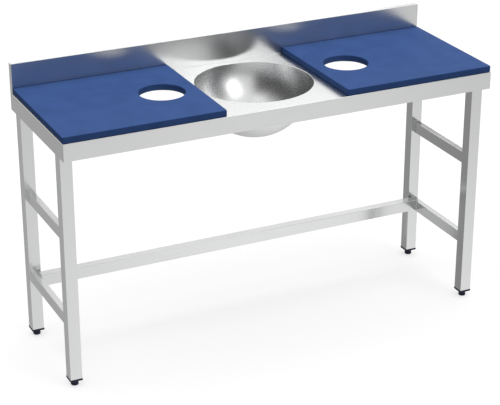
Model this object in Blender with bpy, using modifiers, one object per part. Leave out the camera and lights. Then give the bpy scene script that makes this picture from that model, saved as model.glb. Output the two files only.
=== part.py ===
"""Stainless steel preparation table with a round bowl, two cutting boards and adjustable feet.

Metres, +Z up. X runs along the table, Y from the front to the upstand at the back, and the
origin is on the floor under the middle of the worktop. The worktop is a folded pan with a
bowl welded under it, and stands on four square legs joined by end rails and a rear stretcher.
Each board lies on the pan round its waste hole and lifts off two locating studs. The strainer
lifts out of the waste, and each foot screws in and out of the cap in its leg.
"""

import math

import bmesh
import bpy
from mathutils import Matrix, Vector

# Clearances
SEAT = 0.0003
FOOT_THREAD_CLEARANCE = 0.0004
STUD_HOLE_CLEARANCE = 0.001
BOARD_SIDE_INSET = 0.0005
BOARD_FRONT_INSET = 0.003
BOARD_BACK_GAP = 0.002
WASTE_HOLE_MARGIN = 0.003

# Worktop pan
TABLE_LENGTH = 1.5
TABLE_DEPTH = 0.5
WORKTOP_HEIGHT = 0.852
SHEET = 0.0015
SKIRT_HEIGHT = 0.0575
SKIRT_RETURN = 0.012
FOLD_RADIUS = 0.002

# Upstand along the back of the worktop
UPSTAND_HEIGHT = 0.102
UPSTAND_DEPTH = 0.022

# Bowl: a spherical dish with a flat bottom for the waste
BOWL_RADIUS = 0.195
BOWL_DEPTH = 0.18
BOWL_Y = 0.0055
BOWL_WALL = 0.0012
BOWL_LIP = 0.01
BOWL_FLAT_RADIUS = 0.058
BOWL_STEPS = 64
BOWL_ARC_STEPS = 11

# Cutting boards and their waste holes
BOARD_FROM_BOWL = 0.0175
BOARD_THICKNESS = 0.021
BOARD_ARRIS = 0.0022
BOARD_CORNER_RADIUS = 0.004
CHUTE_RADIUS = 0.0755
CHUTE_FROM_INNER_EDGE = 0.119
CHUTE_STEPS = 64

# Studs that hold the boards in place
STUD_RADIUS = 0.004
STUD_HEIGHT = 0.007
STUD_CHAMFER = 0.001
STUD_FROM_SIDE = 0.06
STUD_FROM_FRONT = 0.05
STUD_HOLE_DEPTH = 0.01

# Stiffening channels under the worktop
CHANNEL_WIDTH = 0.025
CHANNEL_HEIGHT = 0.02
CHANNEL_WALL = 0.0015
CHANNEL_END_GAP = 0.015
INNER_CHANNEL_GAP = 0.003
OUTER_CHANNEL_FROM_END = 0.19

# Legs and rails
LEG_WIDTH = 0.04
LEG_WALL = 0.0015
LEG_CORNER_RADIUS = 0.001
LEG_FROM_FRONT = 0.043
LEG_FROM_BACK = 0.042
RAIL_WIDTH = 0.02
RAIL_HEIGHT = 0.04
RAIL_WALL = 0.0015
RAIL_CORNER_RADIUS = 0.001
LOWER_RAIL_TOP = 0.239
UPPER_RAIL_TOP = 0.537
STRETCHER_DEPTH = 0.032
STRETCHER_TOP = 0.244
STRETCHER_FRONT_Y = 0.1285

# Head plates that carry the worktop on the legs
HEAD_PLATE_SIZE = 0.07
HEAD_PLATE_THICKNESS = 0.004
HEAD_PLATE_INSET = 0.003
GUSSET_HEIGHT = 0.035
GUSSET_THICKNESS = 0.003

# Leg caps and adjustable feet
CAP_FLANGE_THICKNESS = 0.007
CAP_FLANGE_OVERHANG = 0.0012
CAP_PLUG_HEIGHT = 0.024
CAP_PLUG_CORNER_RADIUS = 0.002
CAP_BEVEL = 0.0015
FOOT_HEIGHT = 0.02
FOOT_RADIUS = 0.0127
FOOT_NECK_RADIUS = 0.0112
FOOT_EDGE = 0.0015
FOOT_STUD_RADIUS = 0.005
FOOT_STUD_SOLE = 0.006
FOOT_STUD_TOP = 0.062
FOOT_STUD_CHAMFER = 0.0008

# Waste fitting in the bottom of the bowl
WASTE_FLANGE_RADIUS = 0.034
WASTE_FLANGE_THICKNESS = 0.002
WASTE_TUBE_RADIUS = 0.02
WASTE_BORE_RADIUS = 0.0145
WASTE_LEDGE_RADIUS = 0.0175
WASTE_LEDGE_DEPTH = 0.003
WASTE_TUBE_LENGTH = 0.0135
WASTE_GASKET_THICKNESS = 0.0015
WASTE_GASKET_RADIUS = 0.03
WASTE_NUT_HEIGHT = 0.007
WASTE_NUT_ACROSS_CORNERS = 0.054
STRAINER_THICKNESS = 0.0018
STRAINER_KNOB_RADIUS = 0.004
STRAINER_KNOB_HEIGHT = 0.009
STRAINER_HOLE_RADIUS = 0.0018
STRAINER_HOLE_CIRCLE = 0.0105
STRAINER_HOLES = 8

# Places worked out from the sizes
HALF_LENGTH = TABLE_LENGTH / 2
HALF_DEPTH = TABLE_DEPTH / 2
PAN_UNDERSIDE = WORKTOP_HEIGHT - SHEET
UPSTAND_FRONT_Y = HALF_DEPTH - UPSTAND_DEPTH
LEG_X = HALF_LENGTH - SHEET - SEAT - LEG_WIDTH / 2
FRONT_LEG_Y = -HALF_DEPTH + LEG_FROM_FRONT + LEG_WIDTH / 2
BACK_LEG_Y = HALF_DEPTH - LEG_FROM_BACK - LEG_WIDTH / 2
LEG_TOP = PAN_UNDERSIDE - SEAT - HEAD_PLATE_THICKNESS - SEAT
LEG_BOTTOM = FOOT_HEIGHT + SEAT + CAP_FLANGE_THICKNESS + SEAT
BOARD_BOTTOM = WORKTOP_HEIGHT + SEAT
BOARD_INNER_X = BOWL_RADIUS + BOARD_FROM_BOWL
BOARD_LENGTH = HALF_LENGTH - BOARD_SIDE_INSET - BOARD_INNER_X
INNER_CHANNEL_X = BOWL_RADIUS + BOWL_LIP + INNER_CHANNEL_GAP + CHANNEL_WIDTH / 2
OUTER_CHANNEL_X = HALF_LENGTH - OUTER_CHANNEL_FROM_END
BOARD_FRONT_Y = -HALF_DEPTH + BOARD_FRONT_INSET
BOARD_BACK_Y = UPSTAND_FRONT_Y - BOARD_BACK_GAP
BOARD_Y = (BOARD_FRONT_Y + BOARD_BACK_Y) / 2
CHUTE_X = BOARD_INNER_X + CHUTE_FROM_INNER_EDGE
BOWL_SPHERE_RADIUS = (BOWL_RADIUS ** 2 + BOWL_DEPTH ** 2) / (2 * BOWL_DEPTH)
BOWL_TOP = PAN_UNDERSIDE - SEAT
BOWL_CENTRE_Z = WORKTOP_HEIGHT - BOWL_DEPTH + BOWL_SPHERE_RADIUS
BOWL_FLAT_Z = BOWL_CENTRE_Z - math.sqrt(BOWL_SPHERE_RADIUS ** 2 - BOWL_FLAT_RADIUS ** 2)

ENDS = {"left": -1, "right": 1}
ROWS = {"front": FRONT_LEG_Y, "back": BACK_LEG_Y}

COLLECTION_NAME = "sink_table"
CUTTER_COLLECTION_NAME = "cutters"


def clear_scene():
    """Remove every object so that the model starts from an empty scene."""
    for item in list(bpy.data.objects):
        bpy.data.objects.remove(item, do_unlink=True)


def make_collection(name, hidden=False):
    """Return a new collection linked to the scene."""
    collection = bpy.data.collections.new(name)
    bpy.context.scene.collection.children.link(collection)
    collection.hide_render = hidden
    return collection


def make_material(name, colour, roughness, metallic=0.0):
    """Return a Principled material with the part's colour."""
    material = bpy.data.materials.new(name)
    material.use_nodes = True
    shader = material.node_tree.nodes["Principled BSDF"]
    shader.inputs["Base Color"].default_value = (*colour, 1.0)
    shader.inputs["Roughness"].default_value = roughness
    shader.inputs["Metallic"].default_value = metallic
    return material


def put_mesh(name, mesh, material, collection, location=(0.0, 0.0, 0.0)):
    """Add a mesh to the collection as an object with its material."""
    item = bpy.data.objects.new(name, mesh)
    item.location = location
    if material is not None:
        mesh.materials.append(material)
    collection.objects.link(item)
    return item


def smooth_round_sides(mesh, angle=math.radians(35)):
    """Shade the curved sides smooth and keep the real edges sharp."""
    mesh.shade_smooth()
    mesh.set_sharp_from_angle(angle=angle)


def box_mesh(name, size):
    """Return a box mesh of the given size, centred on its origin."""
    work = bmesh.new()
    bmesh.ops.create_cube(work, size=1.0, matrix=Matrix.Diagonal((*size, 1.0)))
    mesh = bpy.data.meshes.new(name)
    work.to_mesh(mesh)
    work.free()
    return mesh


def cylinder_mesh(name, radius, height, steps):
    """Return a cylinder mesh centred on its origin."""
    work = bmesh.new()
    bmesh.ops.create_cone(work, cap_ends=True, segments=steps, radius1=radius, radius2=radius, depth=height)
    mesh = bpy.data.meshes.new(name)
    work.to_mesh(mesh)
    work.free()
    return mesh


def rounded_rectangle(width, height, radius, steps=3):
    """Return the outline of a rectangle whose corners are arcs."""
    points = []
    for quarter, (sign_x, sign_y) in enumerate(((1, 1), (-1, 1), (-1, -1), (1, -1))):
        centre = Vector((sign_x * (width / 2 - radius), sign_y * (height / 2 - radius)))
        for step in range(steps + 1):
            angle = math.pi / 2 * (quarter + step / steps)
            points.append(centre + radius * Vector((math.cos(angle), math.sin(angle))))
    return points


def circle(radius, steps, centre=(0.0, 0.0)):
    """Return the outline of a circle."""
    turns = [2 * math.pi * step / steps for step in range(steps)]
    return [Vector((centre[0] + radius * math.cos(turn), centre[1] + radius * math.sin(turn))) for turn in turns]


def outline_mesh(name, outlines, thickness, arris=0.0):
    """Return a flat plate or a straight section with the given outlines, centred on its origin.

    The first outline is the outer edge and the others are openings. An arris rounds the edges
    of both faces and stays inside the outline.
    """
    curve = bpy.data.curves.new(name, "CURVE")
    curve.dimensions = "2D"
    curve.fill_mode = "BOTH"
    curve.extrude = thickness / 2 - arris
    curve.bevel_depth = arris
    curve.bevel_resolution = 1
    curve.offset = -arris
    for outline in outlines:
        spline = curve.splines.new("POLY")
        spline.points.add(len(outline) - 1)
        for target, point in zip(spline.points, outline):
            target.co = (point[0], point[1], 0.0, 1.0)
        spline.use_cyclic_u = True
    source = bpy.data.objects.new(name, curve)
    bpy.context.scene.collection.objects.link(source)
    graph = bpy.context.evaluated_depsgraph_get()
    mesh = bpy.data.meshes.new_from_object(source.evaluated_get(graph))
    bpy.data.objects.remove(source, do_unlink=True)
    bpy.data.curves.remove(curve)
    work = bmesh.new()
    work.from_mesh(mesh)
    bmesh.ops.remove_doubles(work, verts=work.verts, dist=1e-6)
    work.to_mesh(mesh)
    work.free()
    mesh.name = name
    mesh.materials.clear()
    return mesh


def turned(name, profile, material, collection, location, steps, closed=True):
    """Add a shape turned about its own Z axis.

    The profile is a list of (radius, height) points that runs down the outer side. A closed
    profile is a ring section. An open one starts and ends on the axis.
    """
    mesh = bpy.data.meshes.new(name)
    work = bmesh.new()
    verts = [work.verts.new((radius, 0.0, height)) for radius, height in profile]
    for first, second in zip(verts, verts[1:]):
        work.edges.new((first, second))
    if closed:
        work.edges.new((verts[-1], verts[0]))
    work.to_mesh(mesh)
    work.free()
    item = put_mesh(name, mesh, material, collection, location)
    screw = item.modifiers.new("Turn", "SCREW")
    screw.axis = "Z"
    screw.angle = 2 * math.pi
    screw.steps = steps
    screw.render_steps = steps
    screw.use_merge_vertices = True
    screw.merge_threshold = 1e-5
    screw.use_smooth_shade = True
    return item


def cut(target, cutter):
    """Cut one object with another and keep the cutter out of the model."""
    cutter.hide_render = True
    cutter.display_type = "WIRE"
    boolean = target.modifiers.new(cutter.name, "BOOLEAN")
    boolean.operation = "DIFFERENCE"
    boolean.object = cutter


def join(target, other):
    """Join one object to another as a single body and keep the second out of the model."""
    other.hide_render = True
    other.display_type = "WIRE"
    boolean = target.modifiers.new(other.name, "BOOLEAN")
    boolean.operation = "UNION"
    boolean.object = other


def make_worktop(steel, parts, cutters):
    """Add the worktop, one folded sheet: front skirt, top, upstand and rear wall, with closed ends.

    The sheet is open underneath, its long bottom edges are folded inward, and it has the bowl
    opening and a waste hole under each board.
    """
    bottom = WORKTOP_HEIGHT - SKIRT_HEIGHT
    profile = [
        (-HALF_DEPTH, bottom),
        (-HALF_DEPTH, WORKTOP_HEIGHT),
        (UPSTAND_FRONT_Y, WORKTOP_HEIGHT),
        (UPSTAND_FRONT_Y, WORKTOP_HEIGHT + UPSTAND_HEIGHT),
        (HALF_DEPTH, WORKTOP_HEIGHT + UPSTAND_HEIGHT),
        (HALF_DEPTH, bottom),
    ]
    work = bmesh.new()
    left = [work.verts.new((-HALF_LENGTH, y, z)) for y, z in profile]
    right = [work.verts.new((HALF_LENGTH, y, z)) for y, z in profile]
    work.faces.new(left)
    work.faces.new(reversed(right))
    for index in range(len(profile) - 1):
        work.faces.new((left[index], right[index], right[index + 1], left[index + 1]))
    bmesh.ops.recalc_face_normals(work, faces=work.faces)
    folds = [edge for edge in work.edges if not edge.is_boundary]
    bmesh.ops.bevel(work, geom=folds, offset=FOLD_RADIUS, segments=2, affect="EDGES", profile=0.5)
    long_edges = [edge for edge in work.edges if edge.is_boundary and edge.calc_length() > TABLE_LENGTH / 2]
    for edge in long_edges:
        extruded = bmesh.ops.extrude_edge_only(work, edges=[edge])["geom"]
        for vertex in [part for part in extruded if isinstance(part, bmesh.types.BMVert)]:
            vertex.co.x -= math.copysign(SKIRT_RETURN, vertex.co.x)
            vertex.co.y -= math.copysign(SKIRT_RETURN, vertex.co.y)
    mesh = bpy.data.meshes.new("worktop")
    work.to_mesh(mesh)
    work.free()
    pan = put_mesh("worktop", mesh, steel, parts)
    sheet = pan.modifiers.new("Sheet", "SOLIDIFY")
    sheet.thickness = SHEET
    sheet.offset = -1.0
    sheet.use_even_offset = True
    opening = cylinder_mesh("bowl_opening", BOWL_RADIUS, 4 * SHEET, BOWL_STEPS)
    cut(pan, put_mesh("bowl_opening", opening, None, cutters, (0.0, BOWL_Y, WORKTOP_HEIGHT)))
    for end, sign in ENDS.items():
        opening = cylinder_mesh(f"{end}_pan_hole", CHUTE_RADIUS + WASTE_HOLE_MARGIN, 4 * SHEET, CHUTE_STEPS)
        cut(pan, put_mesh(f"{end}_pan_hole", opening, None, cutters, (sign * CHUTE_X, BOARD_Y, WORKTOP_HEIGHT)))


def dish_points(radius, rim_height):
    """Return the points of the dish's arc from its rim down to the edge of the flat bottom."""
    rim_angle = math.acos((BOWL_CENTRE_Z - rim_height) / radius)
    flat_angle = math.asin(BOWL_FLAT_RADIUS / radius)
    points = []
    for step in range(BOWL_ARC_STEPS + 1):
        angle = rim_angle + (flat_angle - rim_angle) * step / BOWL_ARC_STEPS
        points.append((radius * math.sin(angle), BOWL_CENTRE_Z - radius * math.cos(angle)))
    return points


def make_bowl(steel, parts):
    """Add the bowl with its lip under the pan and the waste hole in its flat bottom."""
    hole = WASTE_TUBE_RADIUS + SEAT
    inner = dish_points(BOWL_SPHERE_RADIUS, BOWL_TOP)
    outer = dish_points(BOWL_SPHERE_RADIUS + BOWL_WALL, BOWL_TOP - BOWL_WALL)
    profile = [(BOWL_RADIUS + BOWL_LIP, BOWL_TOP), (BOWL_RADIUS + BOWL_LIP, BOWL_TOP - BOWL_WALL)]
    profile += outer
    profile += [(hole, outer[-1][1]), (hole, inner[-1][1])]
    profile += reversed(inner)
    turned("bowl", profile, steel, parts, (0.0, BOWL_Y, 0.0), BOWL_STEPS)


def make_boards(plastic, parts, cutters):
    """Add the two cutting boards, each with its waste hole and two blind stud holes."""
    depth = BOARD_BACK_Y - BOARD_FRONT_Y
    for end, sign in ENDS.items():
        centre_x = sign * (BOARD_INNER_X + BOARD_LENGTH / 2)
        chute = circle(CHUTE_RADIUS, CHUTE_STEPS, (sign * CHUTE_X - centre_x, 0.0))
        edge = rounded_rectangle(BOARD_LENGTH, depth, BOARD_CORNER_RADIUS)
        mesh = outline_mesh(f"{end}_board", [edge, chute], BOARD_THICKNESS, BOARD_ARRIS)
        smooth_round_sides(mesh)
        centre = (centre_x, BOARD_Y, BOARD_BOTTOM + BOARD_THICKNESS / 2)
        board = put_mesh(f"{end}_board", mesh, plastic, parts, centre)
        for row, place in stud_places(sign).items():
            radius = STUD_RADIUS + STUD_HOLE_CLEARANCE
            blind = cylinder_mesh(f"{end}_board_{row}_hole", radius, 2 * STUD_HOLE_DEPTH, 16)
            location = (place[0], place[1], BOARD_BOTTOM)
            cut(board, put_mesh(f"{end}_board_{row}_hole", blind, None, cutters, location))


def stud_places(sign):
    """Return the plan places of the two studs of one board."""
    x = sign * (HALF_LENGTH - BOARD_SIDE_INSET - STUD_FROM_SIDE)
    return {"front": (x, BOARD_FRONT_Y + STUD_FROM_FRONT), "back": (x, BOARD_BACK_Y - STUD_FROM_FRONT)}


def make_locating_studs(steel, parts):
    """Add the studs on the pan that keep the boards from sliding."""
    profile = [
        (0.0, STUD_HEIGHT),
        (STUD_RADIUS - STUD_CHAMFER, STUD_HEIGHT),
        (STUD_RADIUS, STUD_HEIGHT - STUD_CHAMFER),
        (STUD_RADIUS, 0.0),
        (0.0, 0.0),
    ]
    for end, sign in ENDS.items():
        for row, place in stud_places(sign).items():
            location = (place[0], place[1], WORKTOP_HEIGHT + SEAT)
            turned(f"{end}_{row}_locating_stud", profile, steel, parts, location, 16, closed=False)


def make_channels(steel, parts):
    """Add the channels that stiffen the pan from the front skirt to the back."""
    half = CHANNEL_WIDTH / 2
    inner = half - CHANNEL_WALL
    outline = [
        Vector((-half, 0.0)), Vector((-half, -CHANNEL_HEIGHT)), Vector((-inner, -CHANNEL_HEIGHT)),
        Vector((-inner, -CHANNEL_WALL)), Vector((inner, -CHANNEL_WALL)), Vector((inner, -CHANNEL_HEIGHT)),
        Vector((half, -CHANNEL_HEIGHT)), Vector((half, 0.0)),
    ]
    length = TABLE_DEPTH - 2 * CHANNEL_END_GAP
    places = {"inner": INNER_CHANNEL_X, "outer": OUTER_CHANNEL_X}
    for end, sign in ENDS.items():
        for where, offset in places.items():
            name = f"{end}_{where}_channel"
            channel = put_mesh(name, outline_mesh(name, [outline], length), steel, parts)
            channel.rotation_euler = (math.pi / 2, 0.0, 0.0)
            channel.location = (sign * offset, 0.0, PAN_UNDERSIDE - SEAT)


def section(width, height, wall, radius):
    """Return the outlines of a hollow section, rounded outside and square inside."""
    outer = rounded_rectangle(width, height, radius)
    half_width, half_height = width / 2 - wall, height / 2 - wall
    corners = ((1, 1), (-1, 1), (-1, -1), (1, -1))
    inner = [Vector((sign_x * half_width, sign_y * half_height)) for sign_x, sign_y in corners]
    return [outer, inner]


def make_legs(steel, parts):
    """Add the four square legs."""
    outlines = section(LEG_WIDTH, LEG_WIDTH, LEG_WALL, LEG_CORNER_RADIUS)
    for row, y in ROWS.items():
        for end, sign in ENDS.items():
            name = f"{row}_{end}_leg"
            mesh = outline_mesh(name, outlines, LEG_TOP - LEG_BOTTOM)
            smooth_round_sides(mesh)
            put_mesh(name, mesh, steel, parts, (sign * LEG_X, y, (LEG_TOP + LEG_BOTTOM) / 2))


def make_rails(steel, parts):
    """Add the upper and lower end rails and the rear stretcher between the lower ones."""
    outlines = section(RAIL_WIDTH, RAIL_HEIGHT, RAIL_WALL, RAIL_CORNER_RADIUS)
    start = FRONT_LEG_Y + LEG_WIDTH / 2 + SEAT
    stop = BACK_LEG_Y - LEG_WIDTH / 2 - SEAT
    for end, sign in ENDS.items():
        for level, top in (("lower", LOWER_RAIL_TOP), ("upper", UPPER_RAIL_TOP)):
            name = f"{end}_{level}_rail"
            mesh = outline_mesh(name, outlines, stop - start)
            smooth_round_sides(mesh)
            rail = put_mesh(name, mesh, steel, parts)
            rail.rotation_euler = (math.pi / 2, 0.0, 0.0)
            rail.location = (sign * LEG_X, (start + stop) / 2, top - RAIL_HEIGHT / 2)
    outlines = section(STRETCHER_DEPTH, RAIL_HEIGHT, RAIL_WALL, RAIL_CORNER_RADIUS)
    length = 2 * (LEG_X - RAIL_WIDTH / 2 - SEAT)
    mesh = outline_mesh("rear_stretcher", outlines, length)
    smooth_round_sides(mesh)
    stretcher = put_mesh("rear_stretcher", mesh, steel, parts)
    stretcher.rotation_euler = (math.pi / 2, 0.0, math.pi / 2)
    stretcher.location = (0.0, STRETCHER_FRONT_Y + STRETCHER_DEPTH / 2, STRETCHER_TOP - RAIL_HEIGHT / 2)


def make_leg_heads(steel, parts, cutters):
    """Add the plate on each leg that carries the pan, with a gusset down the leg's inner side."""
    gusset_top = LEG_TOP + SEAT
    for row, y in ROWS.items():
        for end, sign in ENDS.items():
            plate_x = sign * (LEG_X + LEG_WIDTH / 2 - HEAD_PLATE_INSET - HEAD_PLATE_SIZE / 2)
            name = f"{row}_{end}_leg_head"
            plate = box_mesh(name, (HEAD_PLATE_SIZE, HEAD_PLATE_SIZE, HEAD_PLATE_THICKNESS))
            centre = (plate_x, y, gusset_top + HEAD_PLATE_THICKNESS / 2)
            head = put_mesh(name, plate, steel, parts, centre)
            reach = HEAD_PLATE_INSET + HEAD_PLATE_SIZE - LEG_WIDTH - SEAT
            triangle = [Vector((0.0, HEAD_PLATE_THICKNESS / 2)), Vector((0.0, -GUSSET_HEIGHT)),
                        Vector((-reach, HEAD_PLATE_THICKNESS / 2))]
            if sign < 0:
                triangle = [Vector((-point.x, point.y)) for point in reversed(triangle)]
            gusset_name = f"{row}_{end}_gusset"
            mesh = outline_mesh(gusset_name, [triangle], GUSSET_THICKNESS)
            gusset = put_mesh(gusset_name, mesh, None, cutters)
            gusset.rotation_euler = (math.pi / 2, 0.0, 0.0)
            gusset.location = (sign * (LEG_X - LEG_WIDTH / 2 - SEAT), y, gusset_top)
            join(head, gusset)


def make_caps(plastic, parts, cutters):
    """Add the caps that plug the legs and carry the threaded feet."""
    flange_width = LEG_WIDTH + 2 * CAP_FLANGE_OVERHANG
    plug_width = LEG_WIDTH - 2 * LEG_WALL - 2 * SEAT
    flange_z = FOOT_HEIGHT + SEAT + CAP_FLANGE_THICKNESS / 2
    plug_stretch = CAP_PLUG_HEIGHT + CAP_FLANGE_THICKNESS / 2
    for row, y in ROWS.items():
        for end, sign in ENDS.items():
            name = f"{row}_{end}_cap"
            outline = rounded_rectangle(flange_width, flange_width, LEG_CORNER_RADIUS + CAP_FLANGE_OVERHANG)
            mesh = outline_mesh(name, [outline], CAP_FLANGE_THICKNESS, CAP_BEVEL)
            smooth_round_sides(mesh)
            cap = put_mesh(name, mesh, plastic, parts, (sign * LEG_X, y, flange_z))
            outline = rounded_rectangle(plug_width, plug_width, CAP_PLUG_CORNER_RADIUS)
            mesh = outline_mesh(f"{name}_plug", [outline], plug_stretch)
            plug = put_mesh(f"{name}_plug", mesh, None, cutters, (sign * LEG_X, y, flange_z + plug_stretch / 2))
            join(cap, plug)
            bore = cylinder_mesh(f"{name}_bore", FOOT_STUD_RADIUS + FOOT_THREAD_CLEARANCE, 4 * CAP_PLUG_HEIGHT, 24)
            cut(cap, put_mesh(f"{name}_bore", bore, None, cutters, (sign * LEG_X, y, flange_z)))


def make_feet(plastic, steel, parts):
    """Add each foot's moulded base and the threaded stud that is fixed in it."""
    socket = FOOT_STUD_RADIUS + SEAT
    base = [
        (socket, FOOT_HEIGHT),
        (FOOT_NECK_RADIUS - FOOT_EDGE, FOOT_HEIGHT),
        (FOOT_NECK_RADIUS, FOOT_HEIGHT - FOOT_EDGE),
        (FOOT_RADIUS, 2 * FOOT_EDGE),
        (FOOT_RADIUS - FOOT_EDGE, 0.0),
        (0.0, 0.0),
    ]
    floor_of_socket = FOOT_STUD_SOLE - SEAT
    base = [(0.0, floor_of_socket), (socket, floor_of_socket)] + base
    stud = [
        (0.0, FOOT_STUD_TOP),
        (FOOT_STUD_RADIUS - FOOT_STUD_CHAMFER, FOOT_STUD_TOP),
        (FOOT_STUD_RADIUS, FOOT_STUD_TOP - FOOT_STUD_CHAMFER),
        (FOOT_STUD_RADIUS, FOOT_STUD_SOLE),
        (0.0, FOOT_STUD_SOLE),
    ]
    for row, y in ROWS.items():
        for end, sign in ENDS.items():
            place = (sign * LEG_X, y, 0.0)
            turned(f"{row}_{end}_foot", base, plastic, parts, place, 24, closed=False)
            turned(f"{row}_{end}_foot_stud", stud, steel, parts, place, 24, closed=False)


def make_waste(steel, rubber, parts, cutters):
    """Add the waste fitting clamped in the bowl's bottom and the strainer that lifts out of it."""
    place = (0.0, BOWL_Y, 0.0)
    seal_bottom = BOWL_FLAT_Z + SEAT
    flange_bottom = seal_bottom + WASTE_GASKET_THICKNESS + SEAT
    flange_top = flange_bottom + WASTE_FLANGE_THICKNESS
    ledge = flange_top - WASTE_LEDGE_DEPTH
    body = [
        (WASTE_FLANGE_RADIUS - WASTE_FLANGE_THICKNESS, flange_top),
        (WASTE_FLANGE_RADIUS, flange_bottom),
        (WASTE_TUBE_RADIUS, flange_bottom),
        (WASTE_TUBE_RADIUS, BOWL_FLAT_Z - WASTE_TUBE_LENGTH),
        (WASTE_BORE_RADIUS, BOWL_FLAT_Z - WASTE_TUBE_LENGTH),
        (WASTE_BORE_RADIUS, ledge),
        (WASTE_LEDGE_RADIUS, ledge),
        (WASTE_LEDGE_RADIUS, flange_top),
    ]
    turned("waste_body", body, steel, parts, place, 48)
    bore = WASTE_TUBE_RADIUS + SEAT
    gasket_centre = seal_bottom + WASTE_GASKET_THICKNESS / 2
    outlines = [circle(WASTE_GASKET_RADIUS, 48), circle(bore, 48)]
    mesh = outline_mesh("waste_upper_gasket", outlines, WASTE_GASKET_THICKNESS)
    put_mesh("waste_upper_gasket", mesh, rubber, parts, (0.0, BOWL_Y, gasket_centre))
    underside = BOWL_CENTRE_Z - math.sqrt((BOWL_SPHERE_RADIUS + BOWL_WALL) ** 2 - BOWL_FLAT_RADIUS ** 2)
    gasket_top = underside - SEAT
    mesh = outline_mesh("waste_lower_gasket", outlines, WASTE_GASKET_THICKNESS)
    location = (0.0, BOWL_Y, gasket_top - WASTE_GASKET_THICKNESS / 2)
    put_mesh("waste_lower_gasket", mesh, rubber, parts, location)
    nut_top = gasket_top - WASTE_GASKET_THICKNESS - SEAT
    mesh = outline_mesh("waste_nut", [circle(WASTE_NUT_ACROSS_CORNERS / 2, 6), circle(bore, 48)], WASTE_NUT_HEIGHT)
    put_mesh("waste_nut", mesh, steel, parts, (0.0, BOWL_Y, nut_top - WASTE_NUT_HEIGHT / 2))
    plate_bottom = ledge + SEAT
    plate_radius = WASTE_LEDGE_RADIUS - SEAT
    turns = [2 * math.pi * index / STRAINER_HOLES for index in range(STRAINER_HOLES)]
    centres = [(STRAINER_HOLE_CIRCLE * math.cos(turn), STRAINER_HOLE_CIRCLE * math.sin(turn)) for turn in turns]
    outlines = [circle(plate_radius, 48)] + [circle(STRAINER_HOLE_RADIUS, 12, centre) for centre in centres]
    mesh = outline_mesh("strainer", outlines, STRAINER_THICKNESS)
    plate = put_mesh("strainer", mesh, steel, parts, (0.0, BOWL_Y, plate_bottom + STRAINER_THICKNESS / 2))
    knob_top = STRAINER_THICKNESS / 2 + STRAINER_KNOB_HEIGHT
    neck_radius = STRAINER_KNOB_RADIUS / 2
    knob = [
        (0.0, knob_top),
        (STRAINER_KNOB_RADIUS * 0.7, knob_top),
        (STRAINER_KNOB_RADIUS, knob_top - STRAINER_KNOB_RADIUS / 2),
        (neck_radius, knob_top - STRAINER_KNOB_RADIUS),
        (neck_radius, 0.0),
        (0.0, 0.0),
    ]
    join(plate, turned("strainer_knob", knob, None, cutters, plate.location, 24, closed=False))


def main():
    """Build the whole table."""
    clear_scene()
    parts = make_collection(COLLECTION_NAME)
    cutters = make_collection(CUTTER_COLLECTION_NAME, hidden=True)
    steel = make_material("brushed_stainless", (0.62, 0.63, 0.63), 0.25, 1.0)
    board_plastic = make_material("blue_board", (0.052, 0.107, 0.33), 0.45)
    foot_plastic = make_material("navy_plastic", (0.012, 0.014, 0.045), 0.5)
    rubber = make_material("black_rubber", (0.02, 0.02, 0.02), 0.8)
    make_worktop(steel, parts, cutters)
    make_bowl(steel, parts)
    make_boards(board_plastic, parts, cutters)
    make_locating_studs(steel, parts)
    make_channels(steel, parts)
    make_legs(steel, parts)
    make_rails(steel, parts)
    make_leg_heads(steel, parts, cutters)
    make_caps(foot_plastic, parts, cutters)
    make_feet(foot_plastic, steel, parts)
    make_waste(steel, rubber, parts, cutters)


main()
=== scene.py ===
"""Looks of the sink table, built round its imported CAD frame.

Metres, +Z up, in the CAD's own frame. The worktop, bowl, boards, legs, rails, caps, feet and
waste are modelled again with finer folds, rounded edges, welds and threads. The leg heads and
channels keep their CAD shape and get a finish. The studio is a white floor in a room that is
white to the camera and graded to the steel, seen from the photograph's side.
"""

import logging
import math
from collections.abc import Callable
from dataclasses import dataclass
from enum import Enum

import bmesh
import bpy
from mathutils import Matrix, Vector


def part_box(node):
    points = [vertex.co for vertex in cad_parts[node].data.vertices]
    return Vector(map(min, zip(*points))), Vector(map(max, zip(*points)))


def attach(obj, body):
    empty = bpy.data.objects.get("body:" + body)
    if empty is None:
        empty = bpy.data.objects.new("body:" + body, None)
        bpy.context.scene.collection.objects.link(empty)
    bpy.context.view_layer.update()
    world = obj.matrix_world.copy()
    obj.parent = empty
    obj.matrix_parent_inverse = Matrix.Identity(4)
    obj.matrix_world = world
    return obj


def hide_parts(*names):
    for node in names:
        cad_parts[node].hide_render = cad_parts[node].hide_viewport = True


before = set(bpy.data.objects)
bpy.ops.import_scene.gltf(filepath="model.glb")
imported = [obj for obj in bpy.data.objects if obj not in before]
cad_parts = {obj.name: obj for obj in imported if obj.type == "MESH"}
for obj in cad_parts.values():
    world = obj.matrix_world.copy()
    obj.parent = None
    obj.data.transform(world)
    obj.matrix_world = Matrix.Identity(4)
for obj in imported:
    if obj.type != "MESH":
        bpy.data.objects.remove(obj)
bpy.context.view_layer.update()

LOG = logging.getLogger("sink_table")
TABLE_BODY = "table"
ENDS = {"left": -1.0, "right": 1.0}
ROWS = {"front": -1.0, "back": 1.0}

# How many sides round pieces have
BOWL_SIDES = 128
TURNED_SIDES = 96
RING_SIDES = 64
PIN_SIDES = 32
HOLE_SIDES = 24

# How many steps a rounded edge has, from the finest edges to the bowl's rim
EDGE_STEPS = 3
FOLD_STEPS = 4
FLANGE_STEPS = 5
CORNER_STEPS = 6
RIM_STEPS = 8

# The angle in degrees past which an edge stays sharp
SHARP = 40.0
SHARP_ON_FLATS = 30.0
SHARP_ON_ROUNDS = 50.0
SHARP_ON_WELDS = 60.0

# Where a noise pattern starts and stops to count
PATTERN = (0.3, 0.7)
WIDE_PATTERN = (0.25, 0.75)

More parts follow.
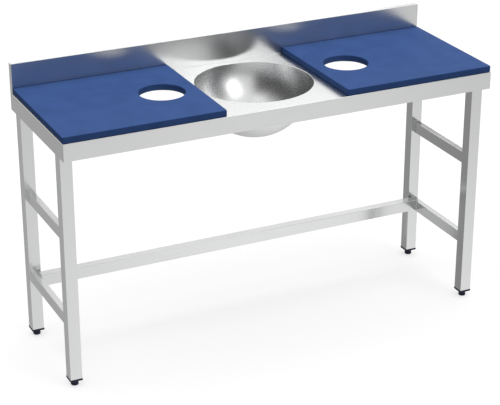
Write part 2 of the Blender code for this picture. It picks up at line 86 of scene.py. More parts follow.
# How far a cutter stands past what it cuts, and how close two places count as one
CLEAR = 0.01
NEAR = 1e-6

# The least that an edge's way or a face's normal has along an axis to run or look along it, and the
# most that an upright face's normal has along Z
PARALLEL = 0.9998
SQUARE = 0.9
LEVEL_FACE = 0.99
UPRIGHT_FACE = 0.1

TO_DEGREES = 180.0 / math.pi

Piece = bpy.types.Object
Material = bpy.types.Material
Socket = bpy.types.NodeSocket
Colour = tuple[float, float, float]
Point = tuple[float, float, float]
Profile = list[tuple[float, float]]
Test = Callable[[object], bool]


class Pick(Enum):
    """What is picked in edit mode."""

    POINTS = "VERT"
    EDGES = "EDGE"
    FACES = "FACE"


class Grain(Enum):
    """The way a steel surface was brushed: how far each axis of its pattern is squeezed."""

    ALONG_X = (5.0, 330.0, 330.0)
    ALONG_Y = (330.0, 5.0, 330.0)
    ALONG_Z = (330.0, 330.0, 5.0)
    EVEN = (170.0, 170.0, 170.0)
    GROUND = (900.0, 900.0, 900.0)


class Slot(Enum):
    """The record's material slots."""

    STAINLESS = "stainless"
    BOARD = "board_plastic"
    FOOT = "foot_plastic"
    GASKET = "gasket_rubber"


def edge_middle(edge: bmesh.types.BMEdge) -> Vector:
    """Return the middle of an edge."""
    return (edge.verts[0].co + edge.verts[1].co) / 2


def runs_along(edge: bmesh.types.BMEdge, axis: int) -> bool:
    """Tell whether an edge runs along an axis (0, 1 or 2), to within a degree or so."""
    way = edge.verts[1].co - edge.verts[0].co
    return way.length > NEAR / 10 and abs(way.normalized()[axis]) > PARALLEL


def is_arris(edge: bmesh.types.BMEdge) -> bool:
    """Tell whether an edge lies between a level face and an upright one."""
    level = [abs(face.normal.z) for face in edge.link_faces]
    return len(level) == 2 and max(level) > LEVEL_FACE and min(level) < UPRIGHT_FACE


def arc(centre: tuple[float, float], radii: tuple[float, float], start: float, stop: float, steps: int) -> Profile:
    """Return an arc's points in a turned profile, from start to stop in degrees up from level."""
    turns = [math.radians(start + (stop - start) * step / steps) for step in range(steps + 1)]
    return [(centre[0] + radii[0] * math.cos(turn), centre[1] + radii[1] * math.sin(turn)) for turn in turns]


def direction(azimuth: float, elevation: float) -> Vector:
    """Return the unit vector of a direction in degrees, clockwise from +Y and up from level."""
    turn, lift = math.radians(azimuth), math.radians(elevation)
    return Vector((math.sin(turn) * math.cos(lift), math.cos(turn) * math.cos(lift), math.sin(lift)))


def upright(node: str) -> tuple[float, float, float, Vector]:
    """Return the lower and upper height, the radius and the middle of a round CAD node."""
    low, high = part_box(node)
    return low[2], high[2], (high[0] - low[0]) / 2, (low + high) / 2


def near_face(node: str, side: float, axis: int) -> float:
    """Return a CAD node's face towards the middle of the table, for a node on a side (-1 or 1)."""
    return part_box(node)[1 if side < 0 else 0][axis]


class Bench:
    """Blender's operators, used on one piece at a time as by hand."""

    @staticmethod
    def put_down() -> None:
        """Leave edit mode with nothing selected."""
        active = bpy.context.view_layer.objects.active
        if active is not None and active.mode != "OBJECT":
            bpy.ops.object.mode_set(mode="OBJECT")
        bpy.ops.object.select_all(action="DESELECT")

    @classmethod
    def pick_up(cls, *pieces: Piece) -> None:
        """Select some pieces alone and make the first of them active.

        Args:
            pieces: The pieces.
        """
        cls.put_down()
        for piece in pieces:
            piece.select_set(True)
        bpy.context.view_layer.objects.active = pieces[0]

    @classmethod
    def open(cls, piece: Piece) -> None:
        """Open a piece for editing with all of it picked.

        Args:
            piece: The piece.
        """
        cls.pick_up(piece)
        bpy.ops.object.mode_set(mode="EDIT")
        bpy.ops.mesh.select_all(action="SELECT")

    @staticmethod
    def close() -> None:
        """Leave edit mode."""
        bpy.ops.object.mode_set(mode="OBJECT")

    @staticmethod
    def pick(piece: Piece, kind: Pick, test: Test) -> bool:
        """Pick the parts of an open piece that pass a test, and nothing else.

        Args:
            piece: The piece in edit mode.
            kind: Points, edges or faces.
            test: Says which ones.

        Returns:
            Whether any were picked.
        """
        bpy.ops.mesh.select_mode(type=kind.value)
        bpy.ops.mesh.select_all(action="DESELECT")
        work = bmesh.from_edit_mesh(piece.data)
        sources = {Pick.POINTS: work.verts, Pick.EDGES: work.edges, Pick.FACES: work.faces}
        picked = [part for part in sources[kind] if test(part)]
        for part in picked:
            part.select_set(True)
        work.select_flush_mode()
        bmesh.update_edit_mesh(piece.data)
        return bool(picked)

    @classmethod
    def edit(cls, piece: Piece, kind: Pick, test: Test, operator: Callable, **values: object) -> None:
        """Work on the parts of a piece that pass a test.

        Args:
            piece: The piece.
            kind: Points, edges or faces.
            test: Says which ones.
            operator: What is done to them.
            values: The operator's values.
        """
        cls.open(piece)
        if cls.pick(piece, kind, test):
            operator(**values)
        cls.close()

    @classmethod
    def delete_faces(cls, piece: Piece, test: Test) -> None:
        """Take away the faces that pass a test."""
        cls.edit(piece, Pick.FACES, test, bpy.ops.mesh.delete, type="FACE")

    @classmethod
    def soften(cls, piece: Piece, width: float, steps: int, test: Test) -> None:
        """Round the edges that pass a test, with a radius and in some steps."""
        values = {"offset": width, "segments": steps, "profile": 0.5, "affect": "EDGES"}
        cls.edit(piece, Pick.EDGES, test, bpy.ops.mesh.bevel, **values)

    @classmethod
    def mend(cls, gap: float) -> None:
        """Merge the open piece's doubled points, turn its faces outwards and close it.

        Args:
            gap: How far apart doubled points are at most.
        """
        bpy.ops.mesh.select_all(action="SELECT")
        bpy.ops.mesh.remove_doubles(threshold=gap)
        bpy.ops.mesh.normals_make_consistent(inside=False)
        cls.close()

    @classmethod
    def named(cls, name: str) -> Piece:
        """Name the new piece and bring its place and size into its mesh.

        Args:
            name: The piece's name.

        Returns:
            The piece.
        """
        piece = bpy.context.object
        piece.name = piece.data.name = name
        cls.pick_up(piece)
        bpy.ops.object.transform_apply(location=True, rotation=True, scale=True)
        return piece

    @classmethod
    def add(cls, name: str, operator: Callable, **values: object) -> Piece:
        """Add a primitive.

        Args:
            name: Its name.
            operator: What adds it.
            values: The operator's values.

        Returns:
            The piece.
        """
        cls.put_down()
        operator(**values)
        return cls.named(name)

    @classmethod
    def block(cls, name: str, low: Vector, high: Vector) -> Piece:
        """Add a block between its lowest and its highest corner."""
        place, size = (Vector(low) + Vector(high)) / 2, Vector(high) - Vector(low)
        return cls.add(name, bpy.ops.mesh.primitive_cube_add, size=1.0, location=place, scale=size)

    @classmethod
    def disc(
        cls, name: str, centre: Vector, radius: float, low: float, high: float, sides: int, turn: float = 0.0
    ) -> Piece:
        """Add an upright cylinder or prism between two heights, turned about its axis."""
        place = {"location": (centre[0], centre[1], (low + high) / 2), "rotation": (0.0, 0.0, turn)}
        return cls.add(
            name, bpy.ops.mesh.primitive_cylinder_add, vertices=sides, radius=radius, depth=high - low, **place
        )

    @classmethod
    def drill(cls, piece: Piece, centre: Vector, radius: float, low: float, high: float, sides: int) -> None:
        """Cut an upright round hole between two heights."""
        cls.cut(piece, cls.disc("drill", centre, radius, low, high, sides))

    @classmethod
    def line(cls, name: str, profile: Profile, centre: Vector) -> Piece:
        """Draw a profile as a line of points, and leave it open for editing with all of it picked.

        Args:
            name: The piece's name.
            profile: Radius and height of each point, from one end to the other.
            centre: A point on the axis that it will be turned about.

        Returns:
            The piece.
        """
        place = (centre[0] + profile[0][0], centre[1], profile[0][1])
        piece = cls.add(name, bpy.ops.mesh.primitive_plane_add, size=CLEAR / 100, location=place)
        cls.open(piece)
        bpy.ops.mesh.merge(type="CENTER")
        bpy.ops.mesh.select_mode(type=Pick.POINTS.value)
        bpy.ops.mesh.select_all(action="SELECT")
        for (radius, height), (next_radius, next_height) in zip(profile, profile[1:]):
            step = (next_radius - radius, 0.0, next_height - height)
            bpy.ops.mesh.extrude_vertices_move(TRANSFORM_OT_translate={"value": step})
        bpy.ops.mesh.select_all(action="SELECT")
        return piece

    @classmethod
    def turned(cls, name: str, profile: Profile, centre: Vector, sides: int) -> Piece:
        """Turn a profile about an upright axis, close its poles and turn its faces outwards.

        Args:
            name: The piece's name.
            profile: Radius and height of each point, from one end to the other.
            centre: A point on the axis.
            sides: How many sides the piece has.

        Returns:
            The piece.
        """
        piece = cls.line(name, profile, centre)
        axis = {"center": (centre[0], centre[1], 0.0), "axis": (0.0, 0.0, 1.0)}
        bpy.ops.mesh.spin(steps=sides, angle=2 * math.pi, **axis)
        cls.mend(2 * NEAR)
        return piece

    @classmethod
    def apply(cls, piece: Piece, kind: str, **values: object) -> None:
        """Add a modifier to a piece and apply it.

        Args:
            piece: The piece.
            kind: The modifier's type.
            values: Its settings.
        """
        cls.pick_up(piece)
        modifier = piece.modifiers.new(kind.title(), kind)
        for name, value in values.items():
            setattr(modifier, name, value)
        bpy.ops.object.modifier_apply(modifier=modifier.name)

    @classmethod
    def thicken(cls, piece: Piece, wall: float) -> None:
        """Give an open surface its wall, inwards."""
        cls.apply(piece, "SOLIDIFY", thickness=wall, offset=-1.0, use_even_offset=True)

    @classmethod
    def cut(cls, piece: Piece, other: Piece, operation: str = "DIFFERENCE") -> None:
        """Cut a piece with another, or unite the two (UNION); the other is used up."""
        cls.apply(piece, "BOOLEAN", operation=operation, solver="EXACT", object=other)
        bpy.data.objects.remove(other, do_unlink=True)

    @classmethod
    def join(cls, piece: Piece, other: Piece) -> None:
        """Make another piece part of a piece."""
        cls.pick_up(piece, other)
        bpy.ops.object.join()

    @classmethod
    def repeat(cls, piece: Piece, name: str, home: str, node: str) -> Piece:
        """Return a piece for a node: the piece itself at its own node, else a copy with its own mesh.

        Args:
            piece: The piece.
            name: The copy's name.
            home: The node by which the piece was placed.
            node: The node by which the copy is placed.

        Returns:
            The piece or its copy.
        """
        if node == home:
            return piece
        cls.pick_up(piece)
        bpy.ops.object.duplicate(linked=False)
        bpy.ops.transform.translate(value=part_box(node)[0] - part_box(home)[0])
        return cls.named(name)

    @classmethod
    def shade(cls, piece: Piece, angle: float = SHARP) -> None:
        """Shade a finished piece: round parts smooth, flat parts flat.

        Args:
            piece: The piece.
            angle: The angle in degrees past which an edge stays sharp.
        """
        cls.pick_up(piece)
        bpy.ops.object.shade_smooth_by_angle(angle=math.radians(angle))
        cls.apply(piece, "WEIGHTED_NORMAL", keep_sharp=True, weight=60)


@dataclass
class Nodes:
    """The nodes of one material or world, wired in code."""

    tree: bpy.types.NodeTree

    @classmethod
    def of(cls, block: Material | bpy.types.World) -> "Nodes":
        """Return the nodes of a new material or world."""
        block.use_nodes = True
        return cls(block.node_tree)

    def add(self, kind: str, output: int | str = 0, **sockets: object) -> Socket:
        """Add a node, with its settings, and set or link its inputs.

        Args:
            kind: The node's type without ShaderNode.
            output: The name or number of the output that is wanted.
            sockets: Its inputs by name with _ for a space, or by in_ and their number, each a
                value or an output to link. Names in lower case are the node's own settings.

        Returns:
            The output.
        """
        node = self.tree.nodes.new("ShaderNode" + kind)
        for name, value in sockets.items():
            if name.startswith("in_"):
                self.feed(node.inputs[int(name[3:])], value)
            elif name.islower():
                setattr(node, name, value)
            else:
                self.feed(node.inputs[name.replace("_", " ")], value)
        return node.outputs[output]

    def feed(self, socket: Socket, value: object) -> None:
        """Set an input or link it.

        Args:
            socket: The input.
            value: A number, a colour, a vector or another node's output.
        """
        if isinstance(value, Socket):
            self.tree.links.new(value, socket)
        else:
            socket.default_value = value

    def set(self, name: str, value: object) -> None:
        """Set or link an input of the material's Principled shader."""
        self.feed(self.tree.nodes["Principled BSDF"].inputs[name], value)

    def show(self, kind: str, surface: Socket) -> None:
        """Make a shader the surface of the material or the world."""
        self.feed(self.tree.nodes[f"{kind} Output"].inputs["Surface"], surface)

    def math(self, operation: str, first: object, second: object = 0.0) -> Socket:
        """Add a sum of two numbers or outputs."""
        return self.add("Math", operation=operation, in_0=first, in_1=second)

    def dot(self, first: Socket, second: Vector) -> Socket:
        """Add the dot product of two vectors."""
        return self.add("VectorMath", "Value", operation="DOT_PRODUCT", in_0=first, in_1=second)

    def blend(self, share: object, first: object, second: object) -> Socket:
        """Blend two numbers, with a share from 0 to 1 of the second."""
        return self.add("Mix", data_type="FLOAT", in_0=share, in_2=first, in_3=second)

    def tint(self, share: object, first: object, second: object) -> Socket:
        """Blend two colours, with a share from 0 to 1 of the second."""
        return self.add("Mix", 2, data_type="RGBA", in_0=share, in_6=first, in_7=second)

    def mix(self, share: Socket, first: Socket, second: Socket) -> Socket:
        """Mix two shaders, with a share from 0 to 1 of the second."""
        return self.add("MixShader", in_0=share, in_1=first, in_2=second)

    def ramp(self, value: object, start: float, stop: float, low: float = 0.0, high: float = 1.0) -> Socket:
        """Map a number smoothly from the range start to stop to the range low to high."""
        ends = {"From_Min": start, "From_Max": stop, "To_Min": low, "To_Max": high}
        return self.add("MapRange", interpolation_type="SMOOTHSTEP", Value=value, **ends)

    def within(self, distance: Socket, extent: float, softness: float) -> Socket:
        """Return 1 where a distance is inside an extent and 0 past it, with a soft edge."""
        half = softness / 2
        return self.ramp(self.math("ABSOLUTE", distance), extent + half, extent - half)

    def noise(self, place: Socket, scale: float, detail: float, roughness: float = 0.5) -> Socket:
        """Add a noise pattern, from 0 to 1."""
        return self.add("TexNoise", "Fac", Vector=place, Scale=scale, Detail=detail, Roughness=roughness)

    def place(self) -> Socket:
        """Return the place on a piece, in Object coordinates."""
        return self.add("TexCoord", "Object")

    def emboss(self, height: Socket, strength: float, depth: float) -> None:
        """Give the Principled shader a bump from a pattern."""
        self.set("Normal", self.add("Bump", Strength=strength, Distance=depth, Height=height))

    def views(self) -> tuple[Socket, Socket]:
        """Tell the rays that look at a thing from those that light by it.

        Returns:
            1 for a camera ray, also through glass, and 1 for such a ray or a reflection.
        """
        camera, through, mirrored = (
            self.add("LightPath", f"Is {kind} Ray") for kind in ("Camera", "Transmission", "Glossy")
        )
        open_view = self.math("MAXIMUM", camera, through)
        return open_view, self.math("MAXIMUM", open_view, mirrored)


def grey(value: float) -> tuple[float, ...]:
    """Return a neutral colour of a brightness."""
    return (value, value, value, 1.0)


def shade_of(colour: Colour, share: float = 1.0) -> tuple[float, ...]:
    """Return a colour with its brightness times a share, ready for a socket."""
    return (*(share * part for part in colour), 1.0)


@dataclass(frozen=True)
class Steel:
    """Bare steel: fine marks, brushed or ground, and soft clouds change its sheen."""

    name: str
    grain: Grain
    roughness: float = 0.18
    smoothest: float = -0.02
    roughest: float = 0.02
    clouds: float = 0.01
    colour: Colour = (0.66, 0.664, 0.664)
    dullest: float = 0.975
    mark_detail: float = 4.0
    mark_break: float = 0.65
    mark_depth: float = 0.00004
    mark_strength: float = 0.1
    cloud_scale: float = 7.0
    cloud_detail: float = 3.0
    slot: Slot = Slot.STAINLESS

    def material(self) -> Material:
        """Return the material."""
        material = bpy.data.materials.new(self.name)
        nodes = Nodes.of(material)
        place = nodes.place()
        squeezed = nodes.add("Mapping", Vector=place, Scale=self.grain.value)
        marks = nodes.noise(squeezed, 1.0, self.mark_detail, self.mark_break)
        fine = nodes.ramp(marks, *PATTERN, self.roughness + self.smoothest, self.roughness + self.roughest)
        soft = nodes.noise(place, self.cloud_scale, self.cloud_detail)
        soft = nodes.ramp(soft, *PATTERN, -self.clouds, self.clouds)
        nodes.set("Roughness", nodes.math("ADD", fine, soft))
        nodes.set("Base Color", nodes.tint(marks, shade_of(self.colour, self.dullest), shade_of(self.colour)))
        nodes.emboss(marks, self.mark_strength, self.mark_depth)
        nodes.set("Metallic", 1.0)
        return material


@dataclass(frozen=True)
class MouldedPlastic:
    """Plastic with a fine matt grain and faint clouds of colour."""

    name: str
    slot: Slot
    colour: Colour
    roughness: float
    shine: float = 0.3
    play: float = 0.05
    grain_scale: float = 1400.0
    grain_depth: float = 0.00008
    grain_strength: float = 0.2
    grain_break: float = 0.6
    detail: float = 3.0
    cloud_scale: float = 14.0
    cloud_depth: float = 0.06

    def material(self) -> Material:
        """Return the material."""
        material = bpy.data.materials.new(self.name)
        nodes = Nodes.of(material)
        place = nodes.place()
        grain = nodes.noise(place, self.grain_scale, self.detail, self.grain_break)
        clouds = nodes.ramp(nodes.noise(place, self.cloud_scale, self.detail), *PATTERN)
        low, high = (shade_of(self.colour, 1.0 + depth) for depth in (-self.cloud_depth, self.cloud_depth))
        nodes.set("Base Color", nodes.tint(clouds, low, high))
        nodes.set("Specular IOR Level", self.shine)
        rough = nodes.ramp(grain, *WIDE_PATTERN, self.roughness - self.play, self.roughness + self.play)
        nodes.set("Roughness", rough)
        nodes.emboss(grain, self.grain_strength, self.grain_depth)
        return material


class Finish(Enum):
    """Every finish of the table."""

    WORKTOP = Steel("worktop_steel", Grain.ALONG_X, 0.24)
    BOWL = Steel(
        "bowl_steel", Grain.EVEN, 0.27, -0.006, 0.006, clouds=0.003, mark_depth=0.000002, mark_strength=0.02
    )
    LEG = Steel("leg_steel", Grain.ALONG_Z)
    END_RAIL = Steel("end_rail_steel", Grain.ALONG_Y)
    STRETCHER = Steel("stretcher_steel", Grain.ALONG_X)
    TURNED = Steel("turned_steel", Grain.EVEN, mark_depth=0.00001, mark_strength=0.05)
    WELD = Steel(
        "ground_weld",
        Grain.GROUND,
        0.24,
        smoothest=-0.03,
        roughest=0.04,
        clouds=0.0,
        colour=(0.65, 0.654, 0.652),
        dullest=0.9,
        mark_detail=3.0,
        mark_break=0.7,
        mark_strength=0.05,
    )
    BOARD = MouldedPlastic("board_blue", Slot.BOARD, (0.0456, 0.098, 0.276), 0.5, shine=0.02)
    FOOT = MouldedPlastic("foot_navy", Slot.FOOT, (0.012, 0.014, 0.048), 0.45)
    GASKET = MouldedPlastic("gasket_black", Slot.GASKET, (0.018, 0.018, 0.018), 0.75)

    @property
    def material(self) -> Material:
        """Return its material, which is made when it is first asked for."""
        return bpy.data.materials.get(self.value.name) or self.value.material()


def hand_over(piece: Piece, finish: Finish, *nodes: str, body: str = TABLE_BODY) -> None:
    """Dress a finished piece and put it on its body.

    Args:
        piece: The piece.
        finish: Its finish.
        nodes: The CAD nodes it stands for.
        body: The body it rides on.
    """
    if not piece.data.materials:
        piece.data.materials.append(finish.material)
    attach(piece, body)
    if nodes:
        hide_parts(*nodes)
    LOG.info("%s: %d faces on %s", piece.name, len(piece.data.polygons), body)


@dataclass
class Bowl:
    """The round bowl: a spherical dish with a flat bottom and a rolled rim flush with the worktop."""

    centre: tuple[float, float] = (0.0, 0.0055)
    top: float = 0.852
    open_radius: float = 0.195
    depth: float = 0.18
    wall: float = 0.0012
    flat_radius: float = 0.058
    flat_blend: float = 0.012
    blend_steps: int = 6
    waste_radius: float = 0.0203
    dish_steps: int = 48
    rim: float = 0.0022

    @property
    def sphere(self) -> tuple[float, float]:
        """Return the radius of the dish and the height of its centre."""
        radius = (self.open_radius**2 + self.depth**2) / (2 * self.depth)
        return radius, self.top - self.depth + radius

    @property
    def rim_radius(self) -> float:
        """Return the radius at which the rim ends and the flat worktop begins."""
        radius, height = self.sphere
        return math.sqrt((radius + self.rim) ** 2 - (height - self.top + self.rim) ** 2)

    def profile(self) -> Profile:
        """Return the bowl's inner side from the waste hole up to the rim."""
        (radius, height), rim_height = self.sphere, self.top - self.rim
        floor = height - math.sqrt(radius**2 - self.flat_radius**2)
        first = math.degrees(math.asin((self.flat_radius + self.flat_blend) / radius))
        last = math.degrees(math.atan2(self.rim_radius, height - rim_height))
        dish = arc((0.0, height), (radius, radius), first - 90.0, last - 90.0, self.dish_steps)
        rim = arc((self.rim_radius, rim_height), (self.rim, self.rim), 90.0 + last, 90.0, RIM_STEPS)
        start = (self.flat_radius - self.flat_blend, floor)
        blend = []
        for share in (step / self.blend_steps for step in range(1, self.blend_steps)):
            weights = ((1 - share) ** 2, 2 * share * (1 - share), share**2)
            bend = list(zip(weights, (start, (self.flat_radius, floor), dish[0])))
            blend.append(tuple(sum(weight * point[axis] for weight, point in bend) for axis in (0, 1)))
        return [(self.waste_radius, floor), start, *blend, *dish, *rim[1:]]

    def build(self) -> None:
        """Model the bowl and hand it over."""
        piece = Bench.turned("bowl_shell", self.profile(), self.centre, BOWL_SIDES)
        if piece.data.polygons[0].normal.z < 0:
            Bench.open(piece)
            bpy.ops.mesh.flip_normals()
            Bench.close()
        Bench.thicken(piece, self.wall)
        Bench.shade(piece, SHARP_ON_ROUNDS)
        hand_over(piece, Finish.BOWL, "bowl")


@dataclass
class Worktop:
    """The folded sheet: working surface, skirts, upstand and the turned-in bottom edges."""

    bowl: Bowl
    sheet: float = 0.0015
    upstand_depth: float = 0.022
    return_width: float = 0.012
    fold: float = 0.0016
    pan_hole_radius: float = 0.0785
    pan_hole_x: float = 0.3315
    pan_hole_y: float = -0.0105

    def build(self) -> None:
        """Model the worktop and hand it over."""
        low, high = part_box("worktop")
        piece = Bench.block("worktop_sheet", low, (high[0], high[1], self.bowl.top))
        Bench.delete_faces(piece, lambda face: face.normal.z < -SQUARE)
        self.raise_upstand(piece, high)
        Bench.soften(piece, self.fold, FOLD_STEPS, lambda edge: not edge.is_boundary)
        self.turn_in_bottom(piece, low, high)
        Bench.thicken(piece, self.sheet)
        self.cut_openings(piece)
        Bench.shade(piece)
        hand_over(piece, Finish.WORKTOP, "worktop")

    def raise_upstand(self, piece: Piece, high: Vector) -> None:
        """Raise the upstand along the back.

        Args:
            piece: The sheet.
            high: The worktop's highest corner.
        """
        front, rise = high[1] - self.upstand_depth, high[2] - self.bowl.top
        Bench.open(piece)
        bpy.ops.mesh.bisect(plane_co=(0.0, front, 0.0), plane_no=(0.0, 1.0, 0.0))

        def is_behind(face: bmesh.types.BMFace) -> bool:
            """Tell whether a face of the working surface lies under the upstand."""
            return face.normal.z > SQUARE and face.calc_center_median().y > front

        Bench.pick(piece, Pick.FACES, is_behind)
        bpy.ops.mesh.extrude_region_move(TRANSFORM_OT_translate={"value": (0.0, 0.0, rise)})
        bpy.ops.mesh.select_all(action="SELECT")
        bpy.ops.mesh.remove_doubles(threshold=NEAR)
        bpy.ops.mesh.dissolve_limited(angle_limit=math.radians(1.0))
        Bench.close()

    def turn_in_bottom(self, piece: Piece, low: Vector, high: Vector) -> None:
        """Fold the long bottom edges inwards, with mitred ends.

        Args:
            piece: The sheet.
            low: The worktop's lowest corner.
            high: The worktop's highest corner.
        """
        length = high[0] - low[0]
        flat = length - 2 * self.fold
        narrow = (flat - 2 * self.return_width) / flat

        def is_long_bottom(edge: bmesh.types.BMEdge) -> bool:
            """Tell whether an edge is the long bottom edge at the side y."""
            at_side = abs(edge_middle(edge).y - y) < 10 * NEAR
            return edge.is_boundary and edge.calc_length() > length / 2 and at_side

        for side, y in ((1.0, low[1]), (-1.0, high[1])):
            Bench.open(piece)
            Bench.pick(piece, Pick.EDGES, is_long_bottom)
            move = {"value": (0.0, side * self.return_width, 0.0)}
            bpy.ops.mesh.extrude_region_move(TRANSFORM_OT_translate=move)
            bpy.ops.transform.resize(value=(narrow, 1.0, 1.0), center_override=(0.0, y, low[2]))
            Bench.close()

    def cut_openings(self, piece: Piece) -> None:
        """Cut the bowl opening and the two waste holes.

        Args:
            piece: The sheet.
        """
        reach = (self.bowl.top - 3 * self.sheet, self.bowl.top + 2 * self.sheet)
        Bench.drill(piece, self.bowl.centre, self.bowl.rim_radius, *reach, BOWL_SIDES)
        for sign in ENDS.values():
            centre = (sign * self.pan_hole_x, self.pan_hole_y)
            Bench.drill(piece, centre, self.pan_hole_radius, *reach, BOWL_SIDES)


@dataclass
class CuttingBoard:
    """One blue cutting board with its waste hole and the blind holes for its studs."""

    end: str
    hole_radius: float = 0.0755
    hole_from_inner_edge: float = 0.119
    corner: float = 0.004
    arris: float = 0.0022
    stud_hole_radius: float = 0.005
    stud_hole_depth: float = 0.01
    stud_from_side: float = 0.06
    stud_from_front: float = 0.05

    def build(self) -> None:
        """Model the board and hand it over."""
        name, sign = f"{self.end}_board", ENDS[self.end]
        low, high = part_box(name)
        piece = Bench.block(f"{name}_plate", low, high)
        Bench.soften(piece, self.corner, CORNER_STEPS, lambda edge: runs_along(edge, 2))
        Bench.soften(piece, self.arris, FOLD_STEPS, is_arris)
        centre = (near_face(name, sign, 0) + sign * self.hole_from_inner_edge, (low[1] + high[1]) / 2)
        Bench.cut(piece, Bench.turned("waste_cutter", self.hole_profile(low[2], high[2]), centre, BOWL_SIDES))
        x = near_face(name, -sign, 0) - sign * self.stud_from_side
        reach = (low[2] - CLEAR, low[2] + self.stud_hole_depth)
        for y in (low[1] + self.stud_from_front, high[1] - self.stud_from_front):
            Bench.drill(piece, (x, y), self.stud_hole_radius, *reach, PIN_SIDES)
        Bench.shade(piece)
        hand_over(piece, Finish.BOARD, name, body=name)

    def hole_profile(self, low: float, high: float) -> Profile:
        """Return the waste hole's cutter, which flares into a rounded rim at both faces.

        Args:
            low: The board's underside.
            high: The board's top.

        Returns:
            The cutter's profile.
        """
        wide, flare = self.hole_radius + self.arris, (self.arris, self.arris)
        lower = arc((wide, low + self.arris), flare, -90.0, -180.0, FOLD_STEPS)
        upper = arc((wide, high - self.arris), flare, 180.0, 90.0, FOLD_STEPS)
        foot, top = low - CLEAR, high + CLEAR
        return [(0.0, foot), (wide, foot), *lower, *upper, (wide, top), (0.0, top)]


@dataclass
class LocatingStuds:
    """The four studs on the worktop that keep the boards from sliding."""

    round_over: float = 0.0012

    def build(self) -> None:
        """Model one stud with a domed top and copy it to the others' places."""
        names = [f"{end}_{row}_locating_stud" for end in ENDS for row in ROWS]
        foot, top, radius, centre = upright(names[0])
        edge = self.round_over
        dome = arc((radius - edge, top - edge), (edge, edge), 90.0, 0.0, CORNER_STEPS)
        profile = [(0.0, top), *dome, (radius, foot), (0.0, foot)]
        first = Bench.turned(f"{names[0]}_pin", profile, centre, PIN_SIDES)
        Bench.shade(first)
        for name in names:
            hand_over(Bench.repeat(first, f"{name}_pin", names[0], name), Finish.TURNED, name)


@dataclass(frozen=True)
class Tube:
    """A straight length of rectangular tube with rounded corners."""

    corner: float = 0.001
    wall: float = 0.0015

    def make(self, name: str, low: Vector, high: Vector, axis: int) -> Piece:
        """Model the tube between two corners.

        Args:
            name: Its name.
            low: Its lowest corner.
            high: Its highest corner.
            axis: 0, 1 or 2 for the way it runs.

        Returns:
            The tube.
        """
        piece = Bench.block(name, low, high)
        Bench.soften(piece, self.corner, CORNER_STEPS, lambda edge: runs_along(edge, axis))
        Bench.delete_faces(piece, lambda face: abs(face.normal[axis]) > SQUARE)
        Bench.thicken(piece, self.wall)
        Bench.shade(piece)
        return piece


@dataclass(frozen=True)
class WeldCollar:
    """The ground fillet round a tube's end where it meets another tube."""

    reach: float = 0.0008
    corner: float = 0.0018
    edge: float = 0.00076

    def make(self, name: str, low: Vector, high: Vector, axis: int, side: float, face: float) -> Piece:
        """Model the fillet round a tube's end.

        Args:
            name: Its name.
            low: The tube's lowest corner.
            high: The tube's highest corner.
            axis: The way the tube runs.
            side: 1 when the other tube lies further along the axis, -1 when it lies before.
            face: Where the other tube's face is on that axis.

        Returns:
            The fillet.
        """
        grow = Vector([0.0 if index == axis else self.reach for index in range(3)])
        start, stop, free = Vector(low) - grow, Vector(high) + grow, face - side * self.reach
        start[axis], stop[axis] = sorted((face, free))
        piece = Bench.block(name, start, stop)
        Bench.soften(piece, self.corner, FLANGE_STEPS, lambda edge: runs_along(edge, axis))

        def is_free_rim(edge: bmesh.types.BMEdge) -> bool:
            """Tell whether an edge lies round the fillet's free face."""
            return abs(edge_middle(edge)[axis] - free) < NEAR and not runs_along(edge, axis)

        Bench.soften(piece, self.edge, EDGE_STEPS, is_free_rim)
        Bench.shade(piece, SHARP_ON_WELDS)
        return piece


